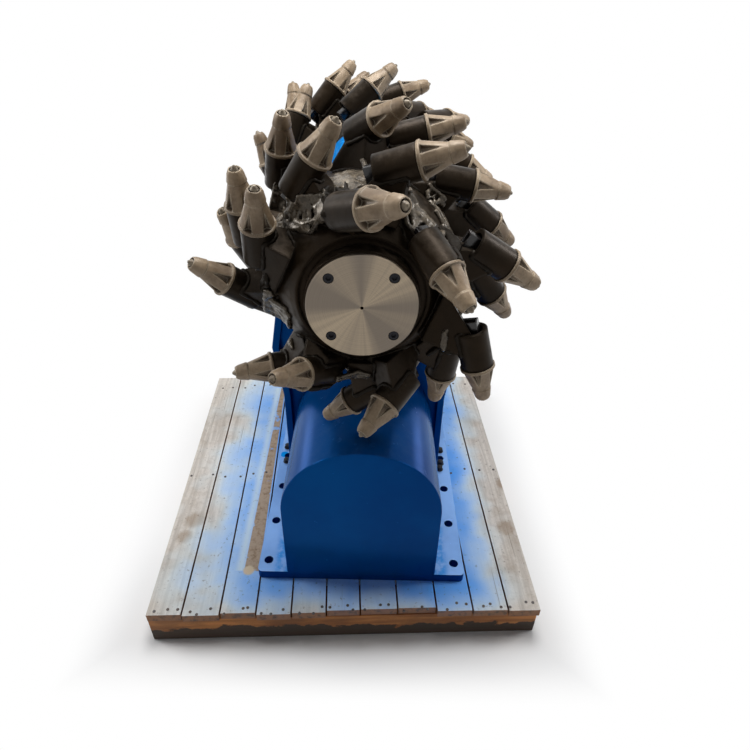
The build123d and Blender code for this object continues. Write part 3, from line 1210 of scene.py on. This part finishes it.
def fluteRing(height, radius, fluteDeep):
    # one ring of the head: ribs stand between troughs that narrow and run out towards the nose
    size = pickHead
    share = (height - size["fluteFrom"]) / (size["fluteTo"] - size["fluteFrom"])
    share = min(max(share, 0), 1)
    deep = fluteDeep * (1 - share) ** size["fluteFades"]
    half = size["fluteHalf"] * (1 - size["fluteNarrows"] * share)
    columns = [(half * across + beyond, sink) for across, beyond, sink in size["fluteColumns"]]
    ring = []
    for flute in range(size["flutes"]):
        for offset, sink in [(-0.5, 0), *columns]:
            angle = 2 * math.pi * (flute + offset) / size["flutes"]
            out = radius - deep * sink
            ring.append((out * math.cos(angle), out * math.sin(angle), height))
    return ring


def makePickHeads(word):
    size = pickHead
    low, high = Vector(size["headLow"]), Vector(size["headHigh"])
    head = [size["headFoot"], *evenSteps(low, high, size["headRings"] - 1)]
    stretches = ((size["shank"], 0), (size["collar"], 0), (head, size["fluteDeep"]), (size["nose"], 0))
    shape = bmesh.new()
    rings = []
    for outline, deep in stretches:
        for height, radius in outline:
            rings.append([shape.verts.new(at) for at in fluteRing(height, radius, deep)])
    for below, above in zip(rings, rings[1:]):
        for n in range(len(below)):
            m = (n + 1) % len(below)
            shape.faces.new((below[n], below[m], above[m], above[n]))
    shape.faces.new(list(reversed(rings[0])))
    shape.faces.new(rings[-1])
    bmesh.ops.recalc_face_normals(shape, faces=shape.faces)
    mesh = bpy.data.meshes.new("pickHead")
    shape.to_mesh(mesh)
    shape.free()
    one = addObject("pickHead", mesh)
    # each pick turns freely in its holder, so each stands at an angle of its own
    dice = random.Random(21 if word == "front" else 22)
    places = []
    for tip, way in pickAxes(word):
        spin = Matrix.Rotation(dice.uniform(0, math.tau), 4, "Z")
        places.append(behindTip(tip, way, size["tipZ"]) @ spin)
    picks = copyTo(one, "pick_heads_" + word, places)
    settle(picks, "pickSteel", "drums", 28)
    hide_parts("picks_" + word)
    print(picks.name, len(picks.data.polygons), "faces")


for _, word in bothSides:
    makePickHeads(word)


footBolt = {
    "headR": 0.0092,
    "headT": 0.011,
    "crownInset": 0.0022,
    "crownT": 0.0012,
    "washerR": 0.0125,
    "washerT": 0.002,
    "edge": 0.0008,
    # x, y and turn of each
    "places": (
        (-0.28, 0.044, 10), (-0.274, -0.03, 35),
        (0.275, 0.038, 0), (0.271, -0.028, 22), (0.266, -0.056, 48),
    ),
}


def makeFootBolts():
    size = footBolt
    cornerR = size["headR"] / math.cos(math.pi / 6)
    head = startRound(6, cornerR, size["headT"], size["washerT"])
    pickFaces(head, facesUp)
    pushInset(size["crownInset"], size["crownT"])
    washer = startRound(32, size["washerR"], size["washerT"])
    onlyPick(head, washer)
    bpy.ops.object.join()
    bolt = bpy.context.object
    modify(bolt, "BEVEL", width=size["edge"], segments=2)
    places = []
    for x, y, turn in size["places"]:
        places.append(Matrix.Translation((x, y, plateTopZ)) @ turnAbout("Z", turn))
    bolts = copyTo(bolt, "foot_bolts", places)
    settle(bolts, "boltBlack", "frame")


makeFootBolts()
print("foot bolts made")


nail = {
    "headR": 0.0042,
    "headT": 0.0012,
    "sides": 12,
    "domeInset": 0.35,
    "domeRise": 0.4,
    # place along the planks, with the places across each plank in shares of the pitch
    "rows": ((-0.56, (-0.3, 0.02, 0.31)), (-0.027, (-0.27, 0.26)), (0.505, (-0.28, 0.25))),
    "wander": 0.012,
    "plateClear": (0.305, 0.495),
}


def makeNails():
    size = nail
    board = palletLook
    dice = random.Random(5)
    head = startRound(size["sides"], size["headR"], size["headT"])
    pickFaces(head, facesUp)
    bpy.ops.mesh.inset(thickness=size["headR"] * size["domeInset"], depth=0)
    bpy.ops.transform.translate(value=(0, 0, size["headT"] * size["domeRise"]))
    bpy.ops.object.mode_set(mode="OBJECT")
    onBoard = Matrix.Translation(board["middle"]) @ turnAbout("Z", board["turnDegrees"])
    places = []
    start = -sum(board["plankShares"]) / 2
    for share in board["plankShares"]:
        centre = (start + share / 2) * board["pitch"]
        start += share
        for y, spots in size["rows"]:
            for spot in spots:
                x = centre + spot * board["pitch"] + dice.uniform(-1, 1) * size["wander"]
                at = (x, y + dice.uniform(-1, 1) * size["wander"], 0)
                places.append(onBoard @ Matrix.Translation(at))
    # no nails under the plate
    wide, long = size["plateClear"]
    clear = [p for p in places if abs(p.translation.x) > wide or abs(p.translation.y) > long]
    nails = copyTo(head, "plank_nails", clear)
    settle(nails, "nailSteel", "frame")


makeNails()
print("nails made")


# light and floor

def seenDirectly(tree):
    path = put(tree, "ShaderNodeLightPath").outputs
    mirrored = calc(tree, "MAXIMUM", path["Is Glossy Ray"], path["Is Transmission Ray"])
    return calc(tree, "MAXIMUM", path["Is Camera Ray"], mirrored)


def showBlend(tree, output, share, a, b):
    inputs = {0: share, 1: a.outputs[0], 2: b.outputs[0]}
    mix = put(tree, "ShaderNodeMixShader", inputs)
    plug(tree, output, {"Surface": mix.outputs[0]})


studio = {
    "size": 60,
    "below": 0.0005,
    "grey": colour(0.92, 0.92, 0.92),
    # distance from the pallet's middle over which the floor turns white
    "whiteFrom": (0.585, 0.76),
    "sky": colour(0.95, 0.97, 1.0),
    # light from the front to the back
    "skyStrength": (-0.8, 0.8, 0.06, 0.26),
}


def makeFloor():
    clearPick()
    bpy.ops.mesh.primitive_plane_add(size=studio["size"], location=(0, 0, floorZ - studio["below"]))
    floor = bpy.context.object
    floor.name = "studio_floor"
    applyPlace()
    material, tree, shader = startMaterial("paleFloor")
    inputs = {"Base Color": studio["grey"], "Roughness": 0.9, "Specular IOR Level": 0.0}
    plug(tree, shader, inputs)
    # white to the camera further out, while the shadow stays near the pallet
    away = vector(tree, "SUBTRACT", objectPlace(tree), palletLook["middle"])
    away = vector(tree, "ABSOLUTE", away)
    beyond = calc(tree, "MAXIMUM", part(tree, away, "X"), part(tree, away, "Y"))
    white = times(tree, seenDirectly(tree), ease(tree, beyond, *studio["whiteFrom"]))
    glow = put(tree, "ShaderNodeEmission", {"Color": colour(1, 1, 1), "Strength": 1.0})
    showBlend(tree, tree.nodes["Material Output"], white, shader, glow)
    floor.data.materials.append(material)


def makeWorld():
    world = bpy.data.worlds.new("studioWorld")
    scene.world = world
    world.use_nodes = True
    tree = world.node_tree
    tree.nodes.clear()
    way = part(tree, put(tree, "ShaderNodeTexCoord").outputs["Generated"], "Y")
    strength = ease(tree, way, *studio["skyStrength"])
    soft = put(tree, "ShaderNodeBackground", {"Color": studio["sky"], "Strength": strength})
    white = put(tree, "ShaderNodeBackground", {"Color": colour(1, 1, 1), "Strength": 1.0})
    showBlend(tree, put(tree, "ShaderNodeOutputWorld"), seenDirectly(tree), soft, white)


makeCamera()
makeFloor()
makeWorld()
makeLamp("topSoft", (0.1, 0.3, 3.4), (0, 0, 0.6), 1.5, 84)
makeLamp("leftFront", (-2.6, 0.2, 2.2), (0, 0, 0.6), 0.9, 36)
makeLamp("rightFront", (2.6, 0.3, 2.2), (0, 0, 0.6), 0.9, 27)
makeLamp("leftBack", (-2.5, 2.0, 0.3), (0, -0.2, 0.45), 0.7, 4)
makeLamp("rightBack", (2.5, 2.0, 0.3), (0, -0.2, 0.45), 0.7, 4)
scene.view_settings.view_transform = "Standard"
print("light, floor and camera made")
